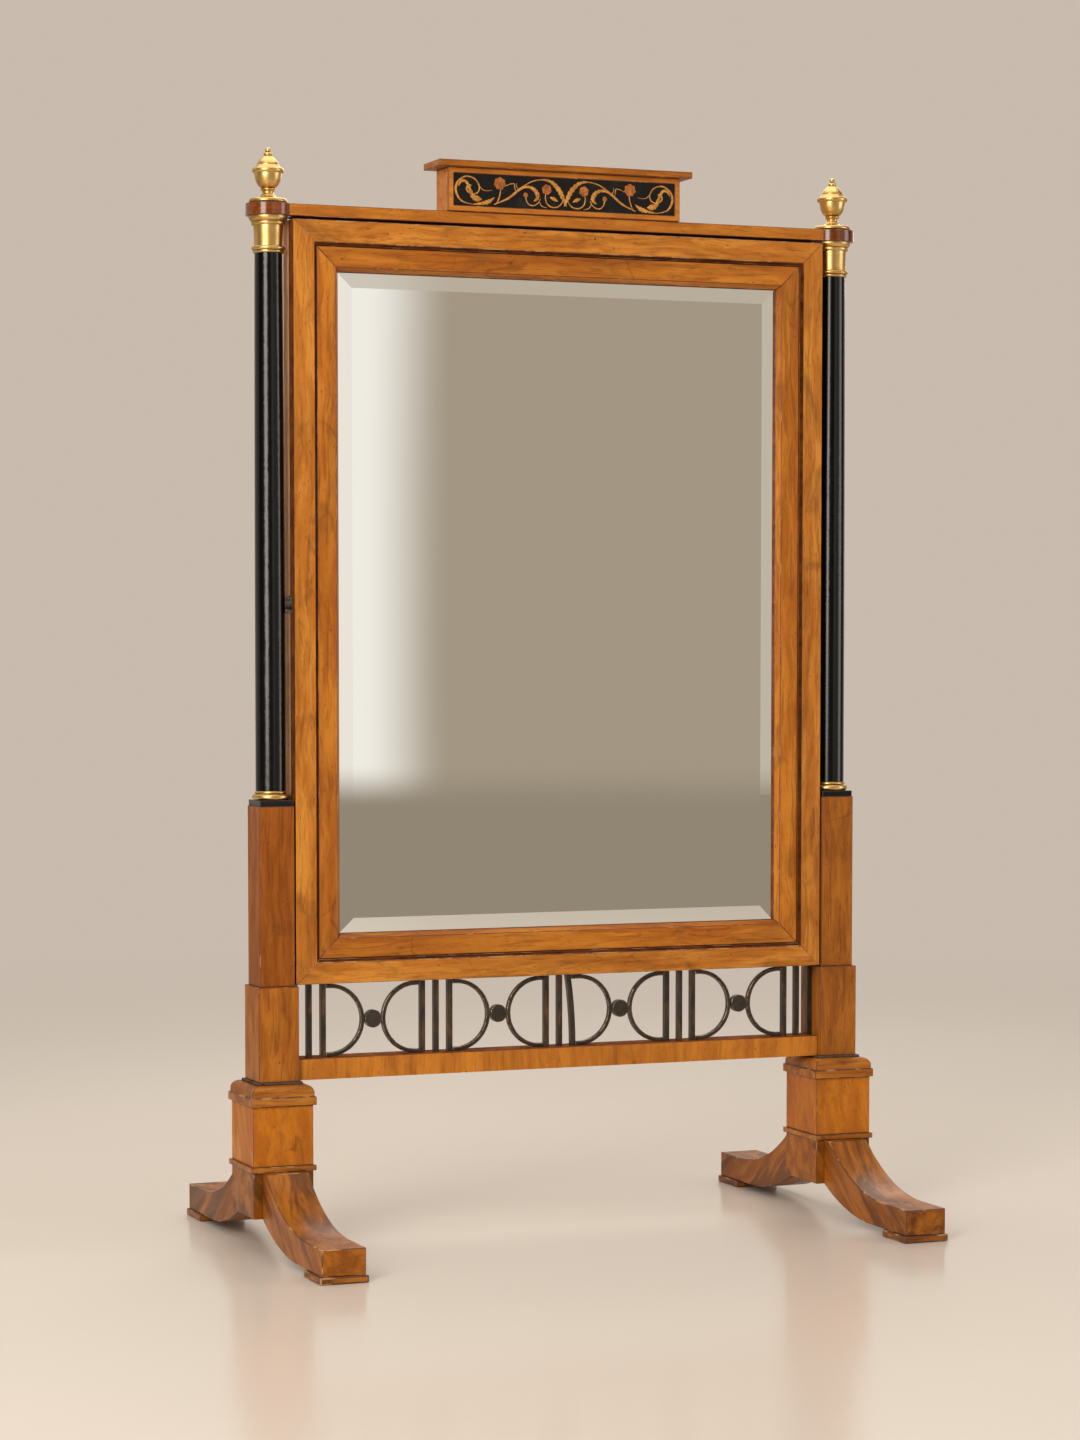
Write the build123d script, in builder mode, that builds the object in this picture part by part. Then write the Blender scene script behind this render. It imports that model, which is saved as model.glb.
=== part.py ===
from build123d import *
from math import atan2, degrees
import os

# Free-standing cheval mirror: two column stands joined by rails, with fretwork and a crest, and a
# framed mirror that tilts between the columns. Millimetres, +Z up, front towards -Y, the viewer's
# left towards -X. The origin is on the floor, midway between the stands.

# Stand layout
post_spacing = 1022
leg_reach = 366
side_names = {-1: "left", 1: "right"}
end_names = {-1: "front", 1: "back"}

# Sabre legs and their pads
pad_height = 12
pad_length = 84
pad_overhang = 4
leg_width = 73
toe_thickness = 43
leg_root_thickness = 19
leg_top_curve_end = 285
leg_under_curve_end = 240

# Square stack of each stand, from the legs up to the column
leg_block_clearance = 57
leg_block_height = 76
pedestal_width = 103
pedestal_depth = 120
lower_fillet_height = 9
lower_fillet_overhang = 4.2
pedestal_height = 99
cap_fillet_height = 14
cap_fillet_overhang = 4.7
ovolo_height = 19
ovolo_radius = 13
ovolo_setback = 2.8
post_plinth_height = 4
post_plinth_overhang = 4.8
lower_post_width = 69
lower_post_depth = 78
lower_post_height = 156
upper_post_width = 60
upper_post_depth = 65
upper_post_height = 296
column_plinth_height = 10
column_plinth_inset = 1.5

# Turned pieces on the column axis
column_base_height = 15
column_base_radius = 30.8
column_base_ring_radius = 26.4
column_length = 874
column_foot_radius = 25
column_middle_radius = 24.5
column_head_radius = 22.8
capital_height = 60
capital_top_radius = 32
capital_ring_radius = 28
rail_end_radius = 37
finial_height = 91
finial_flange_radius = 31.5
finial_cup_radius = 22.6
finial_bead_radius = 26.2
finial_ball_radius = 4.7

# Rails and crest
top_rail_height = 20
top_rail_depth = 50
bottom_rail_height = 34
bottom_rail_depth = 56
crest_width = 418
crest_depth = 58
crest_height = 72
crest_top_height = 11
crest_top_side_overhang = 19
crest_top_front_overhang = 10
crest_bead_width = 9.5
crest_bead_thickness = 4
crest_panel_thickness = 2.5

# Fretwork between the bottom rail and the mirror
rod_size = 9
rod_pitch = 24.4
rods_per_group = 3
rod_group_count = 5
rod_pin_radius = 2.5
rod_pin_length = 8
ring_band = 7
disc_diameter = 30
disc_thickness = 12
leaning_rod_shift = 9

# Tilting frame: a wide outer frame, an inner frame set into it, and a rear frame behind both
side_gap = 3
top_gap = 5
bottom_gap = 2
fretwork_gap = 3
frame_front = -30
outer_band = 40.5
outer_face_width = 35.5
outer_bevel_depth = 5
outer_thickness = 25
inner_seat_gap = 1
inner_setback = 6
inner_face_width = 33
inner_lip_width = 6.5
inner_lip_depth = 10
rear_band = 56
rear_thickness = 29
glass_setback = 13
glass_thickness = 6
glass_bevel_width = 31
glass_bevel_drop = 2.5
glass_margin = 6
back_board_thickness = 9
back_board_clearance = 0.5
cleat_length = 60
cleat_size = 12

# Pivots between the columns and the tilting frame
pivot_radius = 5
pivot_running_clearance = 0.05
pivot_depth_in_column = 30
pivot_depth_in_frame = 22
pivot_bore_clearance = 0.5
collar_radius = 9
collar_seat_depth = 1.8
collar_gap = 0.3
plate_depth = 37
plate_height = 28
plate_thickness = 2.5
plate_offset = 3
screw_radius = 2
screw_head_radius = 4
screw_head_height = 2
screw_length = 20
screw_spread_y = 13
screw_spread_z = 8

# Joinery
joint_clearance = 0.2
dowel_clearance = 0.1
tenon_size = 36
tenon_length = 30
leg_tenon_width = 30
leg_tenon_height = 50
leg_tenon_length = 18
rail_tenon_width = 30
rail_tenon_height = 20
rail_tenon_length = 20
spigot_radius = 11
spigot_length = 30
finial_dowel_radius = 5
finial_dowel_length = 15

# Levels of the stack
post_x = post_spacing / 2
leg_block_top = leg_block_clearance + leg_block_height
pedestal_bottom = leg_block_top + lower_fillet_height
pedestal_top = pedestal_bottom + pedestal_height
ovolo_bottom = pedestal_top + cap_fillet_height
post_plinth_bottom = ovolo_bottom + ovolo_height
lower_post_bottom = post_plinth_bottom + post_plinth_height
lower_post_top = lower_post_bottom + lower_post_height
upper_post_top = lower_post_top + upper_post_height
column_base_bottom = upper_post_top + column_plinth_height
column_bottom = column_base_bottom + column_base_height
column_top = column_bottom + column_length
top_rail_bottom = column_top + capital_height
top_rail_top = top_rail_bottom + top_rail_height
crest_top_bottom = top_rail_top + crest_height

# Places in the tilting frame; an edge value is a distance inwards from the frame's outer edge
frame_half_width = post_x - upper_post_width / 2 - side_gap
frame_bottom = lower_post_top + bottom_gap
frame_top = top_rail_bottom - top_gap
frame_half_height = (frame_top - frame_bottom) / 2
tilt_height = (frame_top + frame_bottom) / 2
outer_back = frame_front + outer_thickness
rear_back = outer_back + rear_thickness
inner_front = frame_front + inner_setback
inner_edge = outer_band + inner_seat_gap
inner_face_edge = inner_edge + inner_face_width
inner_opening_edge = inner_face_edge + inner_lip_width
glass_edge = inner_opening_edge - glass_margin
glass_front = inner_front + glass_setback
glass_back = glass_front + glass_thickness
glass_seat = glass_front + glass_bevel_drop * (1 - glass_margin / glass_bevel_width)

# Places in the fretwork
rail_half_length = post_x - lower_post_width / 2
fret_bottom = lower_post_bottom + bottom_rail_height
fret_height = frame_bottom - fretwork_gap - fret_bottom
fret_middle = fret_bottom + fret_height / 2
group_half_width = (rods_per_group - 1) / 2 * rod_pitch
last_group_x = rail_half_length - rod_size / 2 - group_half_width
group_pitch = 2 * last_group_x / (rod_group_count - 1)
leaning_rod = rods_per_group * rod_group_count // 2 + 1

standing = (Align.CENTER, Align.CENTER, Align.MIN)

os.makedirs("parts", exist_ok=True)


def save(name, piece):
    piece.part.label = name
    export_step(piece.part, f"parts/{name}.step")


def level(side, height):
    """Horizontal plane centred on one stand's axis."""
    return Plane(origin=(side * post_x, 0, height))


def frontal(y):
    """Upright plane at depth y that faces the front; its own axes are X and Z."""
    return Plane.XZ.offset(-y)


def half_profile(side, height):
    """Upright plane on a stand's axis: its own axes are the radius and the height."""
    return Plane(origin=(side * post_x, 0, height), x_dir=(1, 0, 0), z_dir=(0, -1, 0))


def stand_axis(side):
    return Axis((side * post_x, 0, 0), (0, 0, 1))


def block(side, bottom, width, depth, height, mode=Mode.ADD):
    """Square-edged block centred on a stand's axis."""
    with Locations(level(side, bottom)):
        Box(width, depth, height, align=standing, mode=mode)


def tenon(side, bottom, length):
    block(side, bottom, tenon_size, tenon_size, length)


def mortise(side, bottom, length):
    size = tenon_size + 2 * joint_clearance
    block(side, bottom, size, size, length, mode=Mode.SUBTRACT)


# Legs: concave sabre curves above and below, ending in a square toe
def make_leg(side, end):
    block_face = pedestal_depth / 2
    head_y = block_face + leg_root_thickness
    toe_top = pad_height + toe_thickness
    top_rise = leg_block_top - toe_top
    under_rise = leg_block_clearance - pad_height
    top_radius = ((leg_top_curve_end - head_y) ** 2 + top_rise**2) / (2 * top_rise)
    under_radius = ((leg_under_curve_end - block_face) ** 2 + under_rise**2) / (2 * under_rise)
    profile = Plane(origin=(side * post_x, 0, 0), x_dir=(0, end, 0), z_dir=(end, 0, 0))
    with BuildPart() as leg:
        with BuildSketch(profile):
            with BuildLine():
                root = Polyline((block_face, leg_block_clearance), (block_face, leg_block_top),
                                (head_y, leg_block_top))
                top = RadiusArc(root @ 1, (leg_top_curve_end, toe_top), -top_radius)
                toe = Polyline(top @ 1, (leg_reach, toe_top), (leg_reach, pad_height),
                               (leg_under_curve_end, pad_height))
                RadiusArc(toe @ 1, root @ 0, under_radius)
            make_face()
        extrude(amount=leg_width / 2, both=True)
        tenon_y = end * (block_face - leg_tenon_length / 2)
        with Locations((side * post_x, tenon_y, leg_block_clearance + leg_block_height / 2)):
            Box(leg_tenon_width, leg_tenon_length, leg_tenon_height)
    save(f"{end_names[end]}_leg_{side_names[side]}", leg)


def make_toe_pads():
    pad_middle = leg_reach + pad_overhang - pad_length / 2
    with BuildPart() as pads:
        with BuildSketch():
            with GridLocations(post_spacing, 2 * pad_middle, 2, 2):
                Rectangle(leg_width + 2 * pad_overhang, pad_length)
        extrude(amount=pad_height)
    save("toe_pads", pads)


# Square stack of one stand
def make_leg_block(side):
    mortise_depth = leg_tenon_length + joint_clearance
    with BuildPart() as leg_block:
        block(side, leg_block_clearance, pedestal_width, pedestal_depth, leg_block_height)
        with Locations((side * post_x, 0, leg_block_clearance + leg_block_height / 2)):
            with GridLocations(1, pedestal_depth - mortise_depth, 1, 2):
                Box(leg_tenon_width + 2 * joint_clearance, mortise_depth,
                    leg_tenon_height + 2 * joint_clearance, mode=Mode.SUBTRACT)
        tenon(side, leg_block_top, lower_fillet_height + tenon_length)
    save(f"leg_block_{side_names[side]}", leg_block)


def make_pedestal(side):
    mortise_depth = tenon_length + joint_clearance
    with BuildPart() as lower_fillet:
        block(side, leg_block_top, pedestal_width + 2 * lower_fillet_overhang,
              pedestal_depth + 2 * lower_fillet_overhang, lower_fillet_height)
        mortise(side, leg_block_top, lower_fillet_height)
    save(f"lower_fillet_{side_names[side]}", lower_fillet)

    with BuildPart() as pedestal:
        block(side, pedestal_bottom, pedestal_width, pedestal_depth, pedestal_height)
        mortise(side, pedestal_bottom, mortise_depth)
        mortise(side, pedestal_top - mortise_depth, mortise_depth)
    save(f"pedestal_{side_names[side]}", pedestal)


def make_pedestal_cap(side):
    cap_width = pedestal_width + 2 * cap_fillet_overhang
    cap_depth = pedestal_depth + 2 * cap_fillet_overhang
    with BuildPart() as cap:
        block(side, ovolo_bottom, cap_width - 2 * ovolo_setback, cap_depth - 2 * ovolo_setback,
              ovolo_height)
        fillet(cap.faces().sort_by(Axis.Z)[-1].edges(), ovolo_radius)
        block(side, pedestal_top, cap_width, cap_depth, cap_fillet_height)
        mortise(side, pedestal_top, cap_fillet_height + ovolo_height)
    save(f"pedestal_cap_{side_names[side]}", cap)


def make_post_plinth(side):
    with BuildPart() as plinth:
        block(side, post_plinth_bottom, lower_post_width + 2 * post_plinth_overhang,
              lower_post_depth + 2 * post_plinth_overhang, post_plinth_height)
        mortise(side, post_plinth_bottom, post_plinth_height)
    save(f"post_plinth_{side_names[side]}", plinth)


def make_lower_post(side):
    tenon_foot = pedestal_top - tenon_length
    mortise_depth = tenon_length + joint_clearance
    rail_mortise = rail_tenon_length + joint_clearance
    rail_mortise_x = side * (rail_half_length + rail_mortise / 2)
    with BuildPart() as lower_post:
        block(side, lower_post_bottom, lower_post_width, lower_post_depth, lower_post_height)
        tenon(side, tenon_foot, lower_post_bottom - tenon_foot)
        mortise(side, lower_post_top - mortise_depth, mortise_depth)
        with Locations((rail_mortise_x, 0, lower_post_bottom + bottom_rail_height / 2)):
            Box(rail_mortise, rail_tenon_width + 2 * joint_clearance,
                rail_tenon_height + 2 * joint_clearance, mode=Mode.SUBTRACT)
    save(f"lower_post_{side_names[side]}", lower_post)


def make_upper_post(side):
    with BuildPart() as upper_post:
        block(side, lower_post_top, upper_post_width, upper_post_depth, upper_post_height)
        tenon(side, lower_post_top - tenon_length, tenon_length)
        with Locations(level(side, upper_post_top)):
            Hole(spigot_radius + dowel_clearance, depth=spigot_length + joint_clearance)
    save(f"upper_post_{side_names[side]}", upper_post)


# Column with its plinth, base and capital
def make_column_plinth(side):
    with BuildPart() as plinth:
        block(side, upper_post_top, upper_post_width - 2 * column_plinth_inset,
              upper_post_depth - 2 * column_plinth_inset, column_plinth_height)
        with Locations(level(side, column_base_bottom)):
            Hole(spigot_radius + dowel_clearance)
    save(f"column_plinth_{side_names[side]}", plinth)


def make_column_base(side):
    """Two rounded rings, the wide one below."""
    bore = spigot_radius + dowel_clearance
    wide_height = column_base_height * 2 / 3
    wide_round = wide_height / 2
    narrow_round = (column_base_height - wide_height) / 2
    wide_neck = column_base_radius - wide_round
    narrow_neck = column_base_ring_radius - narrow_round
    with BuildPart() as base:
        with BuildSketch(half_profile(side, column_base_bottom)):
            with BuildLine():
                foot = Line((bore, 0), (wide_neck, 0))
                wide = ThreePointArc(foot @ 1, (column_base_radius, wide_round),
                                     (wide_neck, wide_height))
                step = Line(wide @ 1, (narrow_neck, wide_height))
                narrow = ThreePointArc(step @ 1, (column_base_ring_radius, wide_height + narrow_round),
                                       (narrow_neck, column_base_height))
                Polyline(narrow @ 1, (bore, column_base_height), foot @ 0)
            make_face()
        revolve(axis=stand_axis(side))
    save(f"column_base_{side_names[side]}", base)


def column_radius_at(height):
    """Radius of the column's bowed side at a height, taking its shallow arc as a parabola."""
    half_length = column_length / 2
    place = (height - column_bottom) / half_length - 1
    straight = (column_foot_radius + column_head_radius) / 2
    taper = (column_head_radius - column_foot_radius) / 2
    return straight + taper * place + (column_middle_radius - straight) * (1 - place**2)


def collar_seat(side):
    """Plane of the flat cut into the column for the pivot's collar, facing the frame."""
    seat_x = post_x - column_radius_at(tilt_height) + collar_seat_depth
    return Plane(origin=(side * seat_x, 0, tilt_height), x_dir=(0, 1, 0), z_dir=(-side, 0, 0))


def make_column(side):
    head_spigot = capital_height + top_rail_height
    foot_spigot = column_base_height + column_plinth_height + spigot_length
    with BuildPart() as column:
        with BuildSketch(half_profile(side, column_bottom)):
            with BuildLine():
                foot = Line((0, 0), (column_foot_radius, 0))
                shaft = ThreePointArc(foot @ 1, (column_middle_radius, column_length / 2),
                                      (column_head_radius, column_length))
                Polyline(shaft @ 1, (0, column_length), foot @ 0)
            make_face()
        revolve(axis=stand_axis(side))
        with Locations(level(side, column_bottom - foot_spigot)):
            Cylinder(spigot_radius, foot_spigot, align=standing)
        with Locations(level(side, column_top)):
            Cylinder(spigot_radius, head_spigot, align=standing)
        with Locations(level(side, column_top + head_spigot)):
            Hole(finial_dowel_radius + dowel_clearance,
                 depth=finial_dowel_length + joint_clearance)
        with Locations(collar_seat(side)):
            Cylinder(collar_radius + joint_clearance, 2 * collar_seat_depth, align=standing,
                     mode=Mode.SUBTRACT)
            Hole(pivot_radius + pivot_running_clearance,
                 depth=pivot_depth_in_column + joint_clearance)
    save(f"column_{side_names[side]}", column)


def make_capital(side):
    """Two rings, a slightly flared drum, a third ring and a rounded top moulding."""
    bore = spigot_radius + dowel_clearance
    first_ring_top = 5
    second_ring_top = 11
    drum_top = capital_height - 15
    third_ring_top = capital_height - 9
    moulding_top = capital_height - 3
    first_ring_radius = column_head_radius + 2.8
    ring_round = 2.5
    drum_foot_radius = column_head_radius + 0.5
    drum_head_radius = column_head_radius + 1.6
    moulding_foot_radius = capital_ring_radius - 1
    with BuildPart() as capital:
        with BuildSketch(half_profile(side, column_top)):
            with BuildLine():
                foot = Line((bore, 0), (first_ring_radius - ring_round, 0))
                first = ThreePointArc(foot @ 1, (first_ring_radius, first_ring_top / 2),
                                      (first_ring_radius - ring_round / 2, first_ring_top))
                second = ThreePointArc(
                    first @ 1, (capital_ring_radius, (first_ring_top + second_ring_top) / 2),
                    (capital_ring_radius - ring_round, second_ring_top))
                drum_foot = Line(second @ 1, (drum_foot_radius, second_ring_top))
                drum = ThreePointArc(drum_foot @ 1, (drum_foot_radius + ring_round / 10, drum_top / 2),
                                     (drum_head_radius, drum_top))
                step = Line(drum @ 1, (capital_ring_radius - ring_round, drum_top))
                third = ThreePointArc(
                    step @ 1, (capital_ring_radius, (drum_top + third_ring_top) / 2),
                    (moulding_foot_radius, third_ring_top))
                moulding = SagittaArc(third @ 1, (capital_top_radius, moulding_top), -ring_round / 3)
                Polyline(moulding @ 1, (capital_top_radius, capital_height),
                         (bore, capital_height), foot @ 0)
            make_face()
        revolve(axis=stand_axis(side))
    save(f"capital_{side_names[side]}", capital)


def make_rail_end(side):
    with BuildPart() as rail_end:
        with BuildSketch(level(side, top_rail_bottom)):
            Circle(rail_end_radius)
            Circle(spigot_radius + dowel_clearance, mode=Mode.SUBTRACT)
        extrude(amount=top_rail_height)
    save(f"rail_end_{side_names[side]}", rail_end)


def make_finial(side):
    """Urn with a flange, a ringed neck, a cup with a bead at its rim, a cone and a ball tip."""
    flange_top = 8
    flange_round = 3
    neck_foot = (11.5, 14.5)
    neck_waist = (9.2, 18)
    neck_head = (10.6, 21.4)
    neck_ring = (12.4, 23.4)
    cup_foot = (10.8, 25.4)
    cup_belly = (18.6, 33.5)
    bead_bottom = 49
    bead_top = 58
    shoulder = (19.3, 61.2)
    cone_foot = (18.3, 62)
    cone_belly = (13.8, 70.5)
    cone_head = (6.2, 77.5)
    tip_ring = (7.2, 79.6)
    ball_drop = 0.83 * finial_ball_radius
    ball_middle = finial_height - finial_ball_radius
    ball_foot = ((finial_ball_radius**2 - ball_drop**2) ** 0.5, ball_middle - ball_drop)
    edge_radius = finial_flange_radius - flange_round
    with BuildPart() as finial:
        with BuildSketch(half_profile(side, top_rail_top)):
            with BuildLine():
                dowel = Polyline((0, finial_height), (0, -finial_dowel_length),
                                 (finial_dowel_radius, -finial_dowel_length),
                                 (finial_dowel_radius, 0), (edge_radius, 0))
                flange = ThreePointArc(dowel @ 1, (finial_flange_radius, flange_top / 2),
                                       (edge_radius, flange_top))
                flare = Spline(flange @ 1, neck_foot, tangents=((-1, 0.15), (-0.3, 1)))
                neck = ThreePointArc(flare @ 1, neck_waist, neck_head)
                ring = ThreePointArc(neck @ 1, neck_ring, cup_foot)
                cup = Spline(ring @ 1, cup_belly, (finial_cup_radius, bead_bottom),
                             tangents=((1, 0.4), (0.1, 1)))
                bead = ThreePointArc(cup @ 1, (finial_bead_radius, (bead_bottom + bead_top) / 2),
                                     (finial_cup_radius - 1, bead_top))
                lid = Polyline(bead @ 1, shoulder, cone_foot)
                cone = Spline(lid @ 1, cone_belly, cone_head, tangents=((-0.15, 1), (-1, 0.8)))
                tip = ThreePointArc(cone @ 1, tip_ring, ball_foot)
                ThreePointArc(tip @ 1, (finial_ball_radius, ball_middle), (0, finial_height))
            make_face()
        revolve(axis=stand_axis(side))
    save(f"finial_{side_names[side]}", finial)


# Rails and crest
def make_top_rail():
    """Flat rail whose ends are hollowed to fit round the rail ends."""
    with BuildPart() as rail:
        with BuildSketch(Plane.XY.offset(top_rail_bottom)):
            Rectangle(post_spacing, top_rail_depth)
            with GridLocations(post_spacing, 1, 2, 1):
                Circle(rail_end_radius + pivot_running_clearance, mode=Mode.SUBTRACT)
        extrude(amount=top_rail_height)
    save("top_rail", rail)


def rod_places():
    """X of every fretwork rod at its foot, from left to right."""
    places = []
    for group in range(rod_group_count):
        first_x = group * group_pitch - last_group_x - group_half_width
        places += [first_x + rod * rod_pitch for rod in range(rods_per_group)]
    return places


def make_bottom_rail():
    tenoned_length = 2 * (rail_half_length + rail_tenon_length)
    with BuildPart() as rail:
        with Locations((0, 0, lower_post_bottom + bottom_rail_height / 2)):
            Box(2 * rail_half_length, bottom_rail_depth, bottom_rail_height)
            Box(tenoned_length, rail_tenon_width, rail_tenon_height)
        with Locations([(x, 0, fret_bottom) for x in rod_places()]):
            Hole(rod_pin_radius + dowel_clearance, depth=rod_pin_length + joint_clearance)
    save("bottom_rail", rail)


def make_crest():
    """Box on the top rail, a cover over it, and a bead round a thin panel on its front."""
    box_front = crest_bead_thickness - crest_depth / 2
    middle = (0, top_rail_top + crest_height / 2)
    panel_width = crest_width - 2 * crest_bead_width
    panel_height = crest_height - 2 * crest_bead_width
    with BuildPart() as box:
        with BuildSketch(frontal(box_front)):
            with Locations(middle):
                Rectangle(crest_width, crest_height)
        extrude(amount=crest_bead_thickness - crest_depth)
    save("crest_box", box)

    with BuildPart() as cover:
        with BuildSketch(Plane.XY.offset(crest_top_bottom)):
            Rectangle(crest_width + 2 * crest_top_side_overhang,
                      crest_depth + 2 * crest_top_front_overhang)
        extrude(amount=crest_top_height)
    save("crest_top", cover)

    with BuildPart() as panel:
        with BuildSketch(frontal(box_front)):
            with Locations(middle):
                Rectangle(panel_width, panel_height)
        extrude(amount=crest_panel_thickness)
    save("crest_panel", panel)

    with BuildPart() as bead:
        with BuildSketch(frontal(box_front)):
            with Locations(middle):
                Rectangle(crest_width, crest_height)
                Rectangle(panel_width, panel_height, mode=Mode.SUBTRACT)
        extrude(amount=crest_bead_thickness)
    save("crest_bead", bead)


# Fretwork: groups of upright rods, half rings that spring from them, a disc between each pair
def lean_at(height):
    """Shift of the bent rod at a height above its foot, where it stands upright."""
    return leaning_rod_shift * (height / fret_height) ** 2


def make_fret_rods():
    places = rod_places()
    half_size = rod_size / 2
    middle_lean = lean_at(fret_height / 2)
    fret_top = fret_bottom + fret_height
    with BuildPart() as rods:
        with BuildSketch(frontal(half_size)):
            for index, x in enumerate(places):
                foot = ((x - half_size, fret_bottom), (x + half_size, fret_bottom))
                if index == leaning_rod:
                    left_head = (x - half_size - leaning_rod_shift, fret_top)
                    right_head = (x + half_size - leaning_rod_shift, fret_top)
                    with BuildLine():
                        Line(foot[0], foot[1])
                        ThreePointArc(foot[1], (x + half_size - middle_lean, fret_middle),
                                      right_head)
                        Line(right_head, left_head)
                        ThreePointArc(left_head, (x - half_size - middle_lean, fret_middle),
                                      foot[0])
                    make_face()
                else:
                    with Locations((x, fret_middle)):
                        Rectangle(rod_size, fret_height)
        extrude(amount=rod_size)
        with Locations([(x, 0, fret_bottom - rod_pin_length) for x in places]):
            Cylinder(rod_pin_radius, rod_pin_length, align=standing)
    save("fret_rods", rods)


def disc_places():
    """X of each disc, midway between two rod groups."""
    return [(group + 0.5) * group_pitch - last_group_x for group in range(rod_group_count - 1)]


def make_fret_half_rings():
    outer = fret_height / 2
    inner = outer - ring_band
    centre_offset = disc_diameter / 2 + outer
    rod_face_offset = group_pitch / 2 - group_half_width - rod_size / 2
    band_lean = lean_at(fret_height - ring_band)
    with BuildPart() as rings:
        with BuildSketch(frontal(rod_size / 2)):
            for index, disc_x in enumerate(disc_places()):
                for side in side_names:
                    face_x = disc_x + side * rod_face_offset
                    meets_leaning_rod = side == -1 and index == leaning_rod // rods_per_group
                    head_x = face_x - band_lean if meets_leaning_rod else face_x
                    centre_x = disc_x + side * centre_offset
                    with BuildLine():
                        top = Line((head_x, fret_middle + outer), (centre_x, fret_middle + outer))
                        back = ThreePointArc(top @ 1, (centre_x - side * outer, fret_middle),
                                             (centre_x, fret_middle - outer))
                        foot = Polyline(back @ 1, (face_x, fret_middle - outer),
                                        (face_x, fret_middle - inner),
                                        (centre_x, fret_middle - inner))
                        hollow = ThreePointArc(foot @ 1, (centre_x - side * inner, fret_middle),
                                               (centre_x, fret_middle + inner))
                        Polyline(hollow @ 1, (head_x, fret_middle + inner), top @ 0)
                    make_face()
        extrude(amount=rod_size)
    save("fret_half_rings", rings)


def make_fret_discs():
    with BuildPart() as discs:
        with BuildSketch(frontal(disc_thickness / 2)):
            with Locations([(x, fret_middle) for x in disc_places()]):
                Circle(disc_diameter / 2)
        extrude(amount=disc_thickness)
    save("fret_discs", discs)


# Tilting frame
def mitre_outline(position, edge, band):
    """Corners of one side of a frame between its mitres, measured from the frame's middle."""
    half_x = frame_half_width - edge
    half_z = frame_half_height - edge
    if position in ("top", "bottom"):
        up = 1 if position == "top" else -1
        return [(-half_x, up * half_z), (half_x, up * half_z),
                (half_x - band, up * (half_z - band)), (band - half_x, up * (half_z - band))]
    out = 1 if position == "right" else -1
    return [(out * half_x, -half_z), (out * half_x, half_z),
            (out * (half_x - band), half_z - band), (out * (half_x - band), band - half_z)]


def opening(edge):
    """Size of a rectangle whose sides lie a distance inside the frame's outer edge."""
    return 2 * (frame_half_width - edge), 2 * (frame_half_height - edge)


def pivot_plane(side):
    """Plane of the frame's side face at the pivot; its normal points out to the column."""
    return Plane(origin=(side * frame_half_width, 0, tilt_height), x_dir=(0, 1, 0),
                 z_dir=(side, 0, 0))


def screw_planes(side):
    """Planes of the two plate screws, one in the outer frame and one in the rear frame."""
    face = pivot_plane(side)
    across = (-screw_spread_y, screw_spread_y)
    up = (screw_spread_z, -screw_spread_z)
    return [Plane(face.origin + Vector(0, plate_offset + y, z), x_dir=(0, 1, 0), z_dir=(side, 0, 0))
            for y, z in zip(across, up)]


def cut_pivot_seat(side):
    """Recess for the pivot plate, bore for the pin and pilot holes for the screws."""
    face = pivot_plane(side)
    with Locations(Plane(face.origin + Vector(0, plate_offset, 0), x_dir=(0, 1, 0),
                         z_dir=(-side, 0, 0))):
        Box(plate_depth + 2 * joint_clearance, plate_height + 2 * joint_clearance,
            plate_thickness, align=standing, mode=Mode.SUBTRACT)
    with Locations(face):
        Hole(pivot_radius + pivot_bore_clearance, depth=pivot_depth_in_frame + joint_clearance)
    with Locations(screw_planes(side)):
        Hole(screw_radius + pivot_running_clearance, depth=screw_length + joint_clearance)


def make_outer_frame(position):
    bevel = degrees(atan2(outer_band - outer_face_width, outer_bevel_depth))
    with BuildPart() as member:
        with BuildSketch(frontal(outer_back)):
            with Locations((0, tilt_height)):
                Polygon(*mitre_outline(position, 0, outer_band), align=None)
        extrude(amount=outer_thickness)
        with BuildSketch(frontal(frame_front)):
            with Locations((0, tilt_height)):
                Rectangle(*opening(outer_face_width))
        extrude(amount=-outer_bevel_depth, taper=bevel, mode=Mode.SUBTRACT)
        if position in side_names.values():
            cut_pivot_seat(-1 if position == "left" else 1)
    save(f"outer_frame_{position}", member)


def make_inner_frame(position):
    band = inner_opening_edge - inner_edge
    lip = degrees(atan2(inner_lip_width, inner_lip_depth))
    with BuildPart() as member:
        with BuildSketch(frontal(outer_back)):
            with Locations((0, tilt_height)):
                Polygon(*mitre_outline(position, inner_edge, band), align=None)
        extrude(amount=outer_back - inner_front)
        with BuildSketch(frontal(inner_front)):
            with Locations((0, tilt_height)):
                Rectangle(*opening(inner_face_edge))
        extrude(amount=-inner_lip_depth, taper=lip, mode=Mode.SUBTRACT)
        with BuildSketch(frontal(outer_back)):
            with Locations((0, tilt_height)):
                Rectangle(*opening(glass_edge - joint_clearance))
        extrude(amount=outer_back - glass_seat, mode=Mode.SUBTRACT)
    save(f"inner_frame_{position}", member)


def make_rear_frame(position):
    with BuildPart() as member:
        with BuildSketch(frontal(rear_back)):
            with Locations((0, tilt_height)):
                Polygon(*mitre_outline(position, 0, rear_band), align=None)
        extrude(amount=rear_thickness)
        if position in side_names.values():
            cut_pivot_seat(-1 if position == "left" else 1)
    save(f"rear_frame_{position}", member)


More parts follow.
